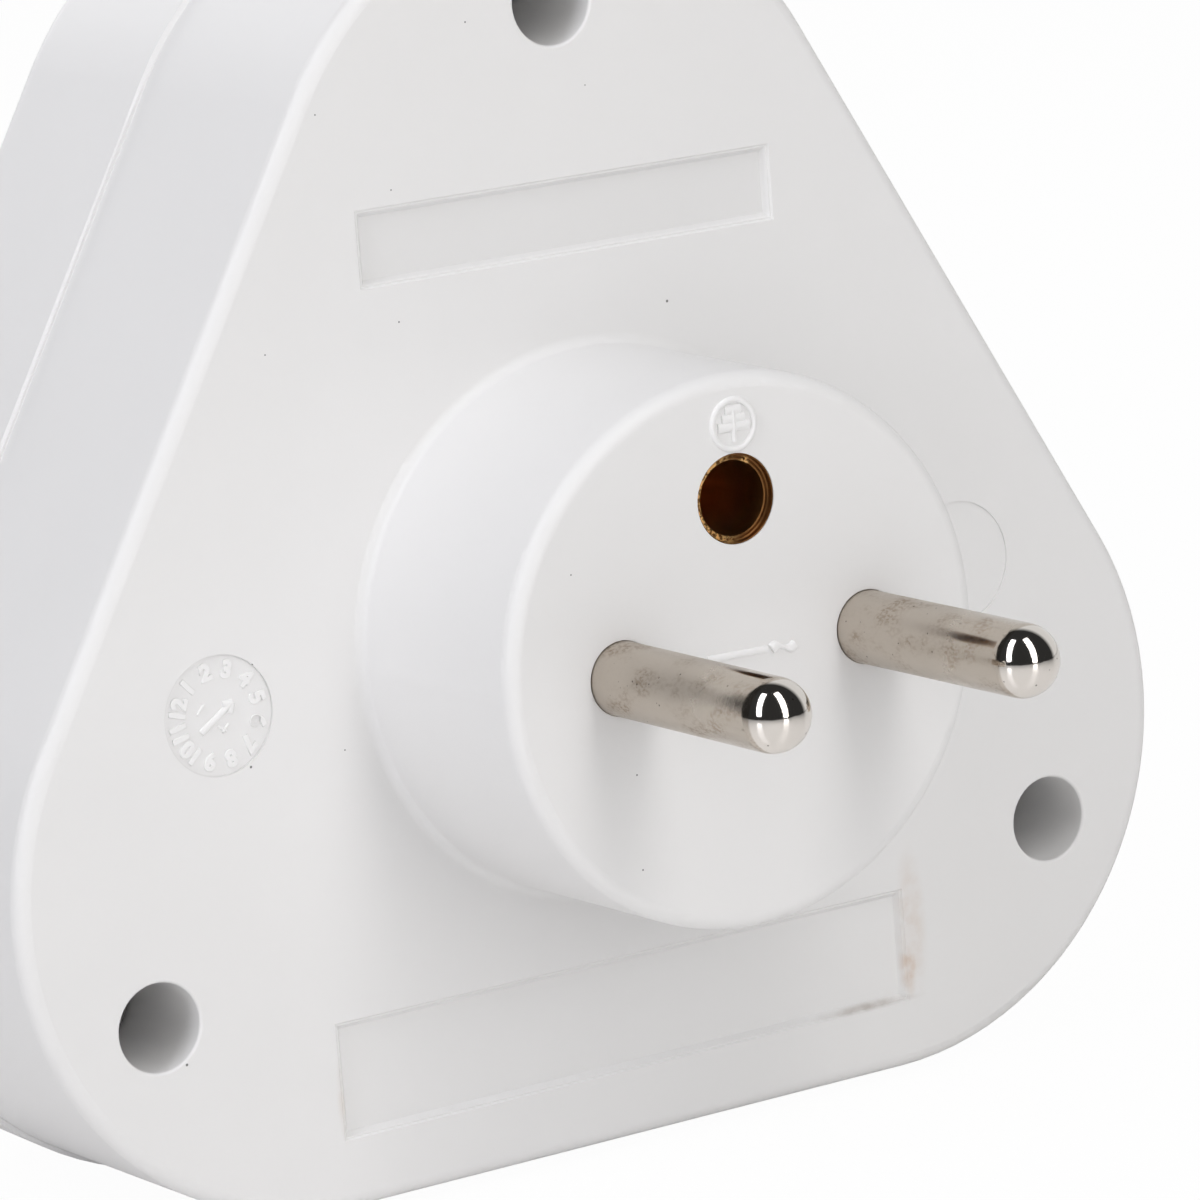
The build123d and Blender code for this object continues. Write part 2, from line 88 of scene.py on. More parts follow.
class Finish:
    """A material whose shader takes plain values for what is even, and wires for what varies."""

    def __init__(self, name, **even):
        self.material = bpy.data.materials.new(name)
        self.material.use_nodes = True
        self.tree = self.material.node_tree
        self.shader = self.tree.nodes["Principled BSDF"]
        for socket, value in even.items():
            self.named(self.shader, socket).default_value = value
        self.place = self.node("TexCoord", {}, out="Object")

    def named(self, shader_node, name):
        """The input that a keyword such as base_color stands for."""
        return next(each for each in shader_node.inputs if each.name.lower().replace(" ", "_") == name)

    def node(self, kind, settings, *values, out=0, **named):
        """Adds a node, sets or links its inputs in order or by name, and returns one output."""
        made = self.tree.nodes.new("ShaderNode" + kind)
        for setting, value in settings.items():
            setattr(made, setting, value)
        open_sockets = [socket for socket in made.inputs if socket.enabled]
        pairs = list(zip(open_sockets, values))
        pairs += [(self.named(made, name), value) for name, value in named.items()]
        for socket, value in pairs:
            if isinstance(value, Wire):
                self.tree.links.new(value.socket, socket)
            else:
                socket.default_value = value
        outputs = [socket for socket in made.outputs if socket.enabled]
        return Wire(self, made.outputs[out] if isinstance(out, str) else outputs[out])

    def noise(self, size, detail, stretch=(1, 1, 1)):
        """A noise of this grain size in metres; a stretch below 1 draws it out along that axis."""
        scaled = self.node("VectorMath", {"operation": "MULTIPLY"}, self.place, stretch)
        return self.node("TexNoise", {}, vector=scaled, scale=1 / size, detail=detail)

    def ramp(self, value, start, end):
        """0 below start, 1 above end, smooth between."""
        return self.node("MapRange", {"interpolation_type": "SMOOTHSTEP"}, value, start, end, 0.0, 1.0)

    def spot(self, centre, reach, softness):
        """1 inside the ellipsoid at centre with these half-widths, 0 outside it."""
        away = self.node("VectorMath", {"operation": "SUBTRACT"}, self.place, centre)
        share = self.node("VectorMath", {"operation": "DIVIDE"}, away, reach)
        length = self.node("VectorMath", {"operation": "LENGTH"}, share, out="Value")
        return self.ramp(length, 1.0, 1.0 - softness)

    def block(self, centre, half, softness):
        """1 inside the box at centre with these half-widths, 0 outside it, over a soft border."""
        away = self.node("VectorMath", {"operation": "SUBTRACT"}, self.place, centre)
        sides = self.node("SeparateXYZ", {}, self.node("VectorMath", {"operation": "ABSOLUTE"}, away))
        inside = None
        for axis, width in enumerate(half):
            side = Wire(self, sides.socket.node.outputs[axis])
            share = self.ramp(side, width + softness, width - softness)
            inside = share if inside is None else inside * share
        return inside

    def along(self, axis):
        """One coordinate of the surface point: 0 for X, 1 for Y, 2 for Z."""
        return Wire(self, self.node("SeparateXYZ", {}, self.place).socket.node.outputs[axis])

    def mix(self, factor, first, second):
        return self.node("Mix", {"data_type": "RGBA"}, factor, first, second)

    def feed(self, socket, wire):
        self.tree.links.new(wire.socket, self.shader.inputs[socket])

    def bump(self, height, distance, strength):
        raised = self.node("Bump", {}, strength=strength, distance=distance, height=height)
        self.feed("Normal", raised)

    def coat(self, *objects):
        for piece in objects:
            piece.data.materials.clear()
            piece.data.materials.append(self.material)


def white_moulding(name):
    """Satin white plastic, slightly cloudy and with a fine grain. Returns the finish and its colour."""
    finish = Finish(name, specular_ior_level=0.42)
    cloud = finish.noise(14 * mm, 2.0)
    grain = finish.noise(0.16 * mm, 2.0)
    shade = 0.985 + 0.03 * cloud
    tint = finish.node("CombineColor", {}, shade, shade, shade)
    plain = (0.80, 0.795, 0.79, 1)
    colour = finish.node("Mix", {"data_type": "RGBA", "blend_type": "MULTIPLY"}, 1.0, plain, tint)
    finish.feed("Roughness", 0.36 + 0.08 * cloud + 0.06 * grain)
    finish.bump(grain, 0.006 * mm, 0.5)
    return finish, colour


housing_white, housing_colour = white_moulding("housing white")
housing_white.feed("Base Color", housing_colour)
housing_white.coat(nodes["front_housing"])

# Shutters: three smooth white slides that close the contact holes from behind. They are moulded
# in a harder plastic, so they shine a little more, and each lies between two guides of the housing.
shutter_white = Finish("shutter white", specular_ior_level=0.5)
slide_marks = shutter_white.noise(1.2 * mm, 2.0, stretch=(1, 1, 0.2))
slide_colour = shutter_white.mix(slide_marks, (0.76, 0.76, 0.74, 1), (0.70, 0.70, 0.67, 1))
shutter_white.feed("Base Color", slide_colour)
shutter_white.feed("Roughness", 0.22 + 0.12 * slide_marks)
shutter_white.bump(slide_marks, 0.004 * mm, 0.4)
shutter_white.coat(nodes["shutter_1"], nodes["shutter_2"], nodes["shutter_3"])

# Shutter springs: wound from drawn steel wire with a light grey shine. Each is a rigid helix that
# stands between its shutter and a seat in the housing. The real spring closes up when the shutter
# slides out.
spring_steel = Finish("spring steel", metallic=1.0)
drawn = spring_steel.noise(0.3 * mm, 2.0)
spring_steel.feed("Base Color", spring_steel.mix(drawn, (0.52, 0.51, 0.50, 1), (0.40, 0.39, 0.38, 1)))
spring_steel.feed("Roughness", 0.25 + 0.15 * drawn)
spring_steel.bump(drawn, 0.003 * mm, 0.4)
wire_radius = 0.2
wire_sides = 10
coil_radius = 1.5
coil_turns = 4
steps_a_turn = 40
coil_start, coil_end = 27.6, 36.2  # distance of the spring's ends from the plug axis
coil_depth = 16.2
coil_length = coil_end - coil_start
well_angles = (90, 210, 330)
for number, angle in enumerate(well_angles, 1):
    bpy.ops.object.select_all(action="DESELECT")
    bpy.ops.mesh.primitive_circle_add(
        vertices=wire_sides,
        radius=wire_radius * mm,
        location=(coil_radius * mm, 0, 0),
        rotation=(pi / 2, 0, 0),
    )
    spring = bpy.context.object
    spring.name = f"coil_spring_{number}"
    bpy.ops.object.transform_apply()
    winding = spring.modifiers.new("winding", "SCREW")
    winding.axis = "Z"
    winding.angle = 2 * pi
    winding.iterations = coil_turns
    winding.screw_offset = (coil_length - 2 * wire_radius) / coil_turns * mm
    winding.steps = winding.render_steps = steps_a_turn
    bpy.ops.object.modifier_apply(modifier="winding")
    bpy.ops.object.mode_set(mode="EDIT")
    bpy.ops.mesh.select_all(action="SELECT")
    bpy.ops.mesh.fill_holes(sides=wire_sides)
    bpy.ops.mesh.select_all(action="SELECT")
    bpy.ops.mesh.normals_make_consistent()
    bpy.ops.object.mode_set(mode="OBJECT")
    bpy.ops.object.shade_smooth_by_angle(angle=radians(60))
    outwards = Vector((cos(radians(angle)), 0, sin(radians(angle))))
    axis_foot = Vector((0, -coil_depth, axis_height))
    spring.rotation_euler = outwards.to_track_quat("Z", "Y").to_euler()
    spring.location = (axis_foot + outwards * (coil_start + wire_radius)) * mm
    bpy.ops.object.transform_apply()
    spring_steel.coat(spring)
    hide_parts(f"shutter_spring_{number}")
    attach(spring, "adapter")
    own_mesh(spring)

# Contact carrier, insulating ring and pin holder: natural grey heat-resistant mouldings that keep
# the live parts apart. They are dull, with the speckle of a filled plastic.
carrier_grey = Finish("carrier grey", specular_ior_level=0.4)
filler = carrier_grey.noise(0.5 * mm, 4.0)
carrier_grey.feed("Base Color", carrier_grey.mix(filler, (0.40, 0.39, 0.36, 1), (0.30, 0.29, 0.26, 1)))
carrier_grey.feed("Roughness", 0.45 + 0.15 * filler)
carrier_grey.bump(filler, 0.01 * mm, 0.5)
carrier_grey.coat(nodes["contact_carrier"], nodes["insulating_ring"], nodes["pin_holder"])

# Bars and clips: stamped and folded from bare brass sheet, so the faces show the rolling direction.
# The clips sit in the carrier with the live and neutral bars on them, and the plug pins are riveted
# to these. The earth bar joins the socket earth pins and the earth contact.
sheet_brass = Finish("sheet brass", metallic=1.0)
rolling = sheet_brass.noise(0.25 * mm, 2.0, stretch=(0.05, 1, 1))
tarnish = sheet_brass.noise(3 * mm, 3.0)
sheet_brass.feed("Base Color", sheet_brass.mix(tarnish, (0.72, 0.52, 0.22, 1), (0.55, 0.38, 0.16, 1)))
sheet_brass.feed("Roughness", 0.24 + 0.2 * tarnish)
sheet_brass.bump(rolling, 0.004 * mm, 0.5)
for number in (1, 2, 3):
    sheet_brass.coat(nodes[f"live_clip_{number}"], nodes[f"neutral_clip_{number}"])
sheet_brass.coat(nodes["live_bar"], nodes["neutral_bar"], nodes["earth_bar"])

# Plug pins: turned from brass rod and nickel plated. Each has a polished dome, a satin shaft worn by
# sockets, and inside the boss a collar and a stem whose end is riveted over its pole bar.
def turned(name, centre_x, centre_z, stations, fill="NGON"):
    """A piece turned about an axis along Y, from its (y, radius) stations in mm."""
    (start_y, start_radius), *others = stations
    bpy.ops.object.select_all(action="DESELECT")
    bpy.ops.mesh.primitive_circle_add(
        vertices=96,
        radius=start_radius * mm,
        fill_type=fill,
        location=(centre_x * mm, start_y * mm, centre_z * mm),
        rotation=(pi / 2, 0, 0),
    )
    piece = bpy.context.object
    piece.name = name
    bpy.ops.object.transform_apply()
    bpy.ops.object.mode_set(mode="EDIT")
    bpy.ops.mesh.select_all(action="SELECT")
    y, radius = start_y, start_radius
    for next_y, next_radius in others:
        bpy.ops.mesh.extrude_region_move(TRANSFORM_OT_translate={"value": (0, (next_y - y) * mm, 0)})
        bpy.ops.transform.resize(
            value=(next_radius / radius, 1, next_radius / radius),
            center_override=(centre_x * mm, next_y * mm, centre_z * mm),
        )
        y, radius = next_y, next_radius
    bpy.ops.mesh.select_all(action="SELECT")
    bpy.ops.mesh.remove_doubles(threshold=0.0001 * mm)
    bpy.ops.mesh.normals_make_consistent()
    bpy.ops.object.mode_set(mode="OBJECT")
    bpy.ops.object.shade_smooth_by_angle(angle=radians(28))
    return piece


boss_height = 17.2
pin_offset = 9.5
pin_radius = 2.4
pin_tip = 36.2
rivet_radius, rivet_height = 2.1, 0.6
bar_thickness = 0.8
neck_radius = 1.4  # where the stem goes through its bar
stem_radius = 2.0
collar_radius, collar_thickness = 3.8, 1.2
pin_seat = 14.4  # underside of the boss face
shoulder_radius = 2.55
shoulder_end = boss_height - 0.15
dome_foot = pin_tip - pin_radius
dome_rings = 18
dome_turns = [radians(90 * ring / dome_rings) for ring in range(1, dome_rings)]
dome = [(dome_foot + pin_radius * sin(turn), pin_radius * cos(turn)) for turn in dome_turns]

# The dome is polished up to its border with the shaft, and the shaft is rubbed dull further down.
pin_nickel = Finish("pin nickel", metallic=1.0)
on_shaft = pin_nickel.ramp(pin_nickel.along(1), 34.6 * mm, 34.4 * mm)
rubbed = pin_nickel.ramp(pin_nickel.along(1), 32.5 * mm, 26.0 * mm)
blotches = pin_nickel.ramp(pin_nickel.noise(2.0 * mm, 8.0, stretch=(1, 0.6, 1)), 0.44, 0.72)
fine_wear = pin_nickel.noise(0.2 * mm, 6.0, stretch=(1, 0.6, 1))
pit_spacing = 0.75
pits = pin_nickel.node(
    "TexVoronoi", {}, vector=pin_nickel.place, scale=1 / (pit_spacing * mm), out="Distance"
)
pitted = pin_nickel.ramp(pin_nickel.noise(1.2 * mm, 1.0), 0.42, 0.52)
pit_marks = pin_nickel.ramp(pits, 0.11, 0.06) * pitted
plated = pin_nickel.mix(on_shaft, (0.80, 0.76, 0.71, 1), (0.56, 0.505, 0.44, 1))
worn_through = blotches * on_shaft * (0.15 + 0.85 * pin_nickel.ramp(fine_wear, 0.42, 0.62))
stained = pin_nickel.mix(worn_through * 0.7, plated, (0.30, 0.22, 0.15, 1))
pin_nickel.feed("Base Color", pin_nickel.mix(pit_marks * 0.8, stained, (0.06, 0.045, 0.035, 1)))
dulled = on_shaft * (0.035 + rubbed * (0.165 + 0.18 * fine_wear) + 0.1 * blotches)
pin_nickel.feed("Roughness", 0.07 + dulled + 0.1 * pit_marks)
turning_lines = pin_nickel.noise(0.05 * mm, 1.0, stretch=(0.05, 1, 0.05))
pin_nickel.bump(turning_lines * on_shaft + 0.8 * fine_wear - 3 * pit_marks, 0.003 * mm, 0.6)

for name, side in (("live", 1), ("neutral", -1)):
    rivet_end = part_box(f"{name}_pin")[0].y / mm
    bar_low = rivet_end + rivet_height
    bar_high = bar_low + bar_thickness
    collar_low = pin_seat - collar_thickness
    pin = turned(
        f"{name}_plug_pin",
        side * pin_offset,
        axis_height,
        [
            (rivet_end, rivet_radius), (bar_low, rivet_radius), (bar_low, neck_radius),
            (bar_high, neck_radius), (bar_high, stem_radius), (collar_low, stem_radius),
            (collar_low, collar_radius), (pin_seat, collar_radius), (pin_seat, shoulder_radius),
            (shoulder_end, shoulder_radius), (shoulder_end, pin_radius), (dome_foot, pin_radius),
            *dome,
        ],
    )
    pin_nickel.coat(pin)
    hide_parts(f"{name}_pin")
    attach(pin, "adapter")

# Socket earth pins: turned and plated like the plug pins, but new and clean in their deep wells.
# Each stands in the floor of a well, with a flange behind it and a stem riveted to the earth bar.
earth_nickel = Finish("earth pin nickel", metallic=1.0)
plating = earth_nickel.noise(1.5 * mm, 3.0)
plating_colour = earth_nickel.mix(plating, (0.68, 0.64, 0.58, 1), (0.60, 0.56, 0.50, 1))
earth_nickel.feed("Base Color", plating_colour)
earth_nickel.feed("Roughness", 0.12 + 0.12 * plating)
earth_nickel.bump(earth_nickel.noise(0.08 * mm, 1.0), 0.001 * mm, 0.4)
earth_nickel.coat(*(nodes[f"socket_earth_pin_{number}"] for number in (1, 2, 3)))

# Earth contact: a slit sleeve of tarnished bronze in the boss, crimped from strip, with a ragged end.
# The thin outer wall meets the boss face; the ledge lies deeper, golden on the left, with a painted
# highlight.
earth_up = 10.0
tube_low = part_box("earth_tube")[0].y / mm
tube_neck, tube_stem = 1.4, 1.6  # in and above the earth bar
cone_low, cone_high = -0.05, 0.95
tube_waist = 2.9
tube_outer = 2.93
tube_top = boss_height - 0.06
ledge_y = boss_height - 0.45
ledge_outer, ledge_inner = 2.72, 2.46
bore_radius = 2.42
bore_end = 1.55

# At its mouth the thin wall is rounded, steps down to the ledge and goes on as the bore.
tube = turned(
    "earth_sleeve",
    0,
    axis_height + earth_up,
    [
        (tube_low, tube_neck), (tube_low + bar_thickness, tube_neck),
        (tube_low + bar_thickness, tube_stem), (cone_low, tube_stem), (cone_high, tube_waist),
        (tube_top - 0.5, tube_waist), (tube_top - 0.05, tube_outer), (tube_top, tube_outer - 0.02),
        (tube_top - 0.04, tube_outer - 0.08), (ledge_y + 0.06, tube_outer - 0.13),
        (ledge_y, ledge_outer), (ledge_y + 0.03, 2.55), (ledge_y, ledge_inner),
        (ledge_y - 0.15, bore_radius), (bore_end, bore_radius),
    ],
)
slit_width = 0.25
slit_start, slit_end = 9.8, 4.65  # both out of sight from the mouth
cutter_length = 8  # more than the sleeve is thick
bpy.ops.object.select_all(action="DESELECT")
bpy.ops.mesh.primitive_cube_add(
    size=1,
    location=(0, (slit_end + slit_start) / 2 * mm, (axis_height + earth_up) * mm),
    scale=(cutter_length * mm, (slit_start - slit_end) * mm, slit_width * mm),
)
slit_cutter = bpy.context.object
slit_cutter.name = "slit_cutter"
slit = tube.modifiers.new("slit", "BOOLEAN")
slit.operation = "DIFFERENCE"
slit.object = slit_cutter
bpy.context.view_layer.objects.active = tube
bpy.ops.object.modifier_apply(modifier="slit")
bpy.data.objects.remove(slit_cutter)

bronze = Finish("tarnished bronze", metallic=1.0)
depth = bronze.along(1)
ledge = bronze.ramp(depth, (ledge_y - 0.22) * mm, (ledge_y - 0.05) * mm)
ledge = ledge * bronze.ramp(depth, (ledge_y + 0.42) * mm, (ledge_y + 0.3) * mm)
# The ledge is painted ragged gold on its left side, seen from the plug side, fading out to the right.
left_side = bronze.ramp(bronze.along(0), -0.6 * mm, 1.3 * mm)
# Painted highlight: a bright golden spot on the upper right of the ledge.
painted_glint_place = Vector((-1.1, ledge_y, axis_height + earth_up + 2.2)) * mm
painted_glint = bronze.spot(painted_glint_place, Vector((0.5, 0.4, 0.4)) * mm, 0.5)
ragged = bronze.ramp(bronze.noise(0.24 * mm, 5.0), 0.38, 0.54)
brown = bronze.mix(bronze.noise(1.2 * mm, 3.0), (0.17, 0.075, 0.025, 1), (0.27, 0.13, 0.045, 1))
inside = bronze.ramp(depth, (ledge_y - 0.3) * mm, (ledge_y - 5.0) * mm)
brown = bronze.mix(inside, brown, (0.75, 0.41, 0.17, 1))
golden = bronze.mix(ragged, (0.08, 0.03, 0.01, 1), (1.0, 0.68, 0.30, 1))
ledge_gold_and_painted_glint = ledge * (left_side * (0.25 + 0.75 * ragged) | painted_glint)
bronze.feed("Base Color", bronze.mix(ledge_gold_and_painted_glint, brown, golden))
bronze.feed("Roughness", 0.36 + 0.1 * ragged + 0.25 * ledge_gold_and_painted_glint)
bronze.bump(ragged * ledge_gold_and_painted_glint + 0.2 * bronze.noise(0.5 * mm, 3.0), 0.03 * mm, 0.6)
bronze.coat(tube)
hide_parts("earth_tube")
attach(tube, "adapter")

# Back cover: plate, side wall and plug boss in one moulding, in the housing's white. The screws hold
# it on the housing. The upper sunk panel is darkened by painted shade; use has left grime and a rusty
# stain.
def on_plate(right, up, deep=0.0):
    """A place on the plate as it is seen from the plug side, in mm right of and above the plug axis."""
    return Vector((-right, -deep, axis_height + up)) * mm


def ball(radius):
    """The half-widths of a round spot."""
    return Vector((radius, radius, radius)) * mm


cover_white, cover_colour = white_moulding("cover white")
panel_up, panel_depth = 26.9, 0.55
panel_half = Vector((16.2, 0.3, 2.6))
# Painted shade: the floor of the upper sunk panel is painted a little darker, as shade in the recess.
panel_painted_shade = cover_white.block(on_plate(0, panel_up, panel_depth), panel_half * mm, 0.05 * mm)
cover_colour = cover_white.mix(panel_painted_shade * 0.04, cover_colour, (0, 0, 0, 1))

# Painted shade: a dark ring on the groove round the sunk date dial, in place of the shadow of its edge
dial_right, dial_up, dial_radius = -29.2, -1.2, 3.95
dial_centre = on_plate(dial_right, dial_up)
groove_outer, groove_inner = dial_radius + 0.07, dial_radius - 0.03
dial_edge_painted_shade = cover_white.spot(dial_centre, ball(groove_outer), 0.02)
dial_edge_painted_shade = dial_edge_painted_shade - cover_white.spot(dial_centre, ball(groove_inner), 0.02)
cover_colour = cover_white.mix(dial_edge_painted_shade * 0.12, cover_colour, (0.2, 0.19, 0.18, 1))

# The stain that ran down beside the lower sunk panel, and the grime along the panel's bottom edge
rust = (0.52, 0.31, 0.16, 1)
grime = (0.34, 0.29, 0.25, 1)
patchy = cover_white.ramp(cover_white.noise(1.4 * mm, 4.0), 0.35, 0.65)
wash = cover_white.spot(on_plate(23.3, -25.6), Vector((1.5, 1.2, 6.5)) * mm, 0.95) * 0.28
drip = cover_white.spot(on_plate(22.9, -28.4), Vector((0.9, 1.2, 2.8)) * mm, 0.9) * 0.55
left_wash = cover_white.spot(on_plate(-22.6, -28.2), Vector((0.6, 1.2, 3.5)) * mm, 0.95) * 0.16
stain = (wash | drip | left_wash) * (0.35 + 0.65 * patchy)
cover_colour = cover_white.mix(stain, cover_colour, rust)
edge_line = cover_white.spot(on_plate(19.4, -30.65, 0.3), Vector((5.5, 0.9, 0.42)) * mm, 0.9)
cover_colour = cover_white.mix(edge_line * (0.3 + 0.3 * patchy), cover_colour, grime)

# Black specks in the plastic: right, up and half-width
plate_specks = (
    (-29.94, 22.45, 0.13), (7.18, 20.17, 0.12), (-18.38, 35.95, 0.07), (-26.48, 1.63, 0.10),
    (-27.22, -4.93, 0.11), (-13.47, 21.88, 0.08), (-20.2, -5.13, 0.07), (-23.54, 21.27, 0.07),
    (-13.24, 30.42, 0.07), (25.8, 30.74, 0.08), (-6.67, 40.41, 0.08), (14.31, 25.57, 0.06),
    (2.08, 35.19, 0.06), (-13.52, 24.43, 0.07), (-33.83, -23.28, 0.12),
)
boss_specks = ((-12.78, 7.25, 0.07), (-9.04, -6.34, 0.08), (-9.14, -12.52, 0.08))
specks = None
for deep, places in ((0.0, plate_specks), (-boss_height, boss_specks)):
    for right, up, half in places:
        speck = cover_white.spot(on_plate(right, up, deep), ball(half), 0.5)
        specks = speck if specks is None else specks | speck
cover_colour = cover_white.mix(specks * 0.85, cover_colour, (0.03, 0.03, 0.03, 1))
cover_white.feed("Base Color", cover_colour)
cover_white.coat(nodes["back_cover"])

# Pin flash: a thin skin of the cover's white plastic that closes on each pin where it leaves the
# boss. It is left there by the mould, and it hides the pin's shoulder in the wider bore below.
flash_low = 17.06
flash_outer, flash_inner = 2.66, 2.435
flash_stations = [
    (flash_low, flash_outer), (boss_height, flash_outer), (17.195, 2.47), (17.16, flash_inner),
    (flash_low, flash_inner), (flash_low, flash_outer),
]
for name, side in (("live", 1), ("neutral", -1)):
    flash = turned(f"{name}_pin_flash", side * pin_offset, axis_height, flash_stations, fill="NOTHING")
    cover_white.coat(flash)
    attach(flash, "adapter")

# Cover screws: zinc-plated steel with cross slots, driven into the housing's posts from the bottom
# of the three wells. They hold the two shells together and have gone dull.
zinc = Finish("zinc plated steel", metallic=1.0)
bloom = zinc.noise(0.9 * mm, 4.0)
zinc.feed("Base Color", zinc.mix(bloom, (0.46, 0.46, 0.46, 1), (0.30, 0.29, 0.28, 1)))
zinc.feed("Roughness", 0.3 + 0.25 * bloom)
zinc.bump(bloom, 0.006 * mm, 0.5)
zinc.coat(nodes["cover_screws"])

# Date dial: moulded in the cover by an insert in the mould, so its numbers and arrow stand up from
# the sunk disc. Numbers 1 to 12 run round it with their heads outwards.
def seen_from_plug(right, up, y, clockwise=0.0):
    """Turns a flat drawing in the XY plane to stand on a surface that faces the plug's side."""
    standing = Matrix(((-1, 0, 0), (0, 0, 1), (0, 1, 0))).to_4x4()
    place = Matrix.Translation(Vector((-right, y, axis_height + up)) * mm)
    return place @ standing @ Matrix.Rotation(-radians(clockwise), 4, "Z")


def bead(name, points, half_width, height, y):
    """A raised bead along points, which are (right, up) in mm, on the surface at y."""
    (right, up), *others = points
    aim = Vector((others[0][0] - right, others[0][1] - up)).normalized()
    bpy.ops.object.select_all(action="DESELECT")
    bpy.ops.mesh.primitive_circle_add(
        vertices=16,
        radius=half_width * mm,
        fill_type="NGON",
        location=Vector((-right, y, axis_height + up)) * mm,
        rotation=Vector((-aim.x, 0, aim.y)).to_track_quat("Z", "Y").to_euler(),
    )
    mark = bpy.context.object
    mark.name = name
    bpy.ops.object.transform_apply()
    bpy.ops.object.mode_set(mode="EDIT")
    bpy.ops.mesh.select_all(action="SELECT")
    for next_right, next_up in others:
        step = Vector((right - next_right, 0, next_up - up)) * mm
        bpy.ops.mesh.extrude_region_move(TRANSFORM_OT_translate={"value": step})
        right, up = next_right, next_up
    bpy.ops.mesh.select_all(action="SELECT")
    bpy.ops.transform.resize(value=(1, height / half_width, 1), center_override=(0, y * mm, 0))
    bpy.ops.mesh.normals_make_consistent()
    bpy.ops.object.mode_set(mode="OBJECT")
    bpy.ops.object.shade_smooth_by_angle(angle=radians(40))
    return mark


# Raised marks catch more light than the plate, so their white is a little lighter.
mark_white, mark_colour = white_moulding("mark white")
mark_white.feed("Base Color", mark_white.mix(0.22, mark_colour, (1, 1, 1, 1)))


def joined(name, pieces):
    """Joins raised strokes into one piece with the marks' finish."""
    bpy.ops.object.select_all(action="DESELECT")
    for piece in pieces:
        piece.select_set(True)
    bpy.context.view_layer.objects.active = pieces[0]
    bpy.ops.object.join()
    pieces[0].name = name
    mark_white.coat(pieces[0])
    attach(pieces[0], "adapter")


dial_floor = -0.15
number_circle = 2.95
digit_size = 1.5
first_number_turn = -43
number_turn = 30
dial_marks = []
for number in range(1, 13):
    bpy.ops.object.select_all(action="DESELECT")
    bpy.ops.object.text_add()
    digits = bpy.context.object
    digits.data.body = str(number)
    digits.data.align_x = "CENTER"
    digits.data.align_y = "CENTER"
    digits.data.size = digit_size * mm
    digits.data.extrude = 0.05 * mm
    digits.data.bevel_depth = 0.045 * mm
    digits.data.bevel_resolution = 1
    digits.data.offset = 0.06 * mm
    bpy.ops.object.convert(target="MESH")
    dial_turn = first_number_turn + number_turn * (number - 1)
    outwards = Matrix.Translation((0, number_circle * mm, 0))
    digits.matrix_world = seen_from_plug(dial_right, dial_up, dial_floor, dial_turn) @ outwards
    bpy.ops.object.transform_apply()
    dial_marks.append(digits)
arrow_foot, arrow_tip = (-30.56, -2.14), (-28.11, -0.53)
shaft_half, barb_half, arrow_height = 0.24, 0.22, 0.14
dial_marks.append(bead("arrow_shaft", [arrow_foot, arrow_tip], shaft_half, arrow_height, dial_floor))
for barb in ((-28.82, -0.56), (-28.3, -1.2)):
    dial_marks.append(bead("arrow_barb", [barb, arrow_tip], barb_half, arrow_height, dial_floor))
stroke_half, stroke_height = 0.1, 0.1
small_strokes = (
    [(-30.7, -0.9), (-30.2, -0.35)],
    [(-29.0, -2.35), (-28.5, -1.85)],
    [(-29.3, -1.9), (-28.7, -2.3)],
)
for stroke in small_strokes:
    dial_marks.append(bead("dial_stroke", stroke, stroke_half, stroke_height, dial_floor))
joined("date_dial_marks", dial_marks)

# Earth mark: a raised ring with the earth symbol in it, above the earth contact. It is moulded on the
# boss face with the cover, from the same white plastic.
ring_right, ring_up = 0.2, 14.78
ring_radius, ring_tube = 1.6, 0.21
ring_flattening = 0.9
bpy.ops.object.select_all(action="DESELECT")
bpy.ops.mesh.primitive_torus_add(
    major_segments=64,
    minor_segments=14,
    major_radius=ring_radius * mm,
    minor_radius=ring_tube * mm,
    location=Vector((-ring_right, boss_height, axis_height + ring_up)) * mm,
    rotation=(pi / 2, 0, 0),
)
ring = bpy.context.object
bpy.ops.object.transform_apply()
bpy.ops.object.mode_set(mode="EDIT")
bpy.ops.mesh.select_all(action="SELECT")
bpy.ops.transform.resize(value=(1, ring_flattening, 1), center_override=(0, boss_height * mm, 0))
bpy.ops.object.mode_set(mode="OBJECT")
bpy.ops.object.shade_smooth_by_angle(angle=radians(60))
earth_marks = [ring]
symbol_bars = ((-0.13, 1.2), (0.4, 0.86), (0.93, 0.6))  # height above the ring's middle, half length
bar_half, bar_height = 0.34, 0.17
stem_half, stem_height = 0.2, 0.19
for up, half_length in symbol_bars:
    bar_ends = [(ring_right - half_length, ring_up + up), (ring_right + half_length, ring_up + up)]
    earth_marks.append(bead("earth_bar_mark", bar_ends, bar_half, bar_height, boss_height))
stem_ends = [(ring_right, ring_up + 0.9), (ring_right, ring_up - 1.12)]
earth_marks.append(bead("earth_stem_mark", stem_ends, stem_half, stem_height, boss_height))
joined("earth_mark", earth_marks)

# Current mark: a raised bar with a wave beside it, which stands for alternating current. It lies on
# the boss face between the pins and is moulded with the cover too.
bar_left, bar_right = (-3.1, 0.05), (1.5, -0.04)
wave_start, wave_end = 1.85, 3.7
wave_up, wave_swing = -0.1, 0.2
wave_steps = 16
wave = [
    (
        wave_start + (wave_end - wave_start) * step / wave_steps,
        wave_up + wave_swing * sin(2 * pi * step / wave_steps),
    )
    for step in range(wave_steps + 1)
]
line_half, line_height = 0.24, 0.2
wave_half, wave_height = 0.36, 0.24
joined(
    "current_mark",
    [
        bead("current_bar", [bar_left, bar_right], line_half, line_height, boss_height),
        bead("current_wave", wave, wave_half, wave_height, boss_height),
    ],
)

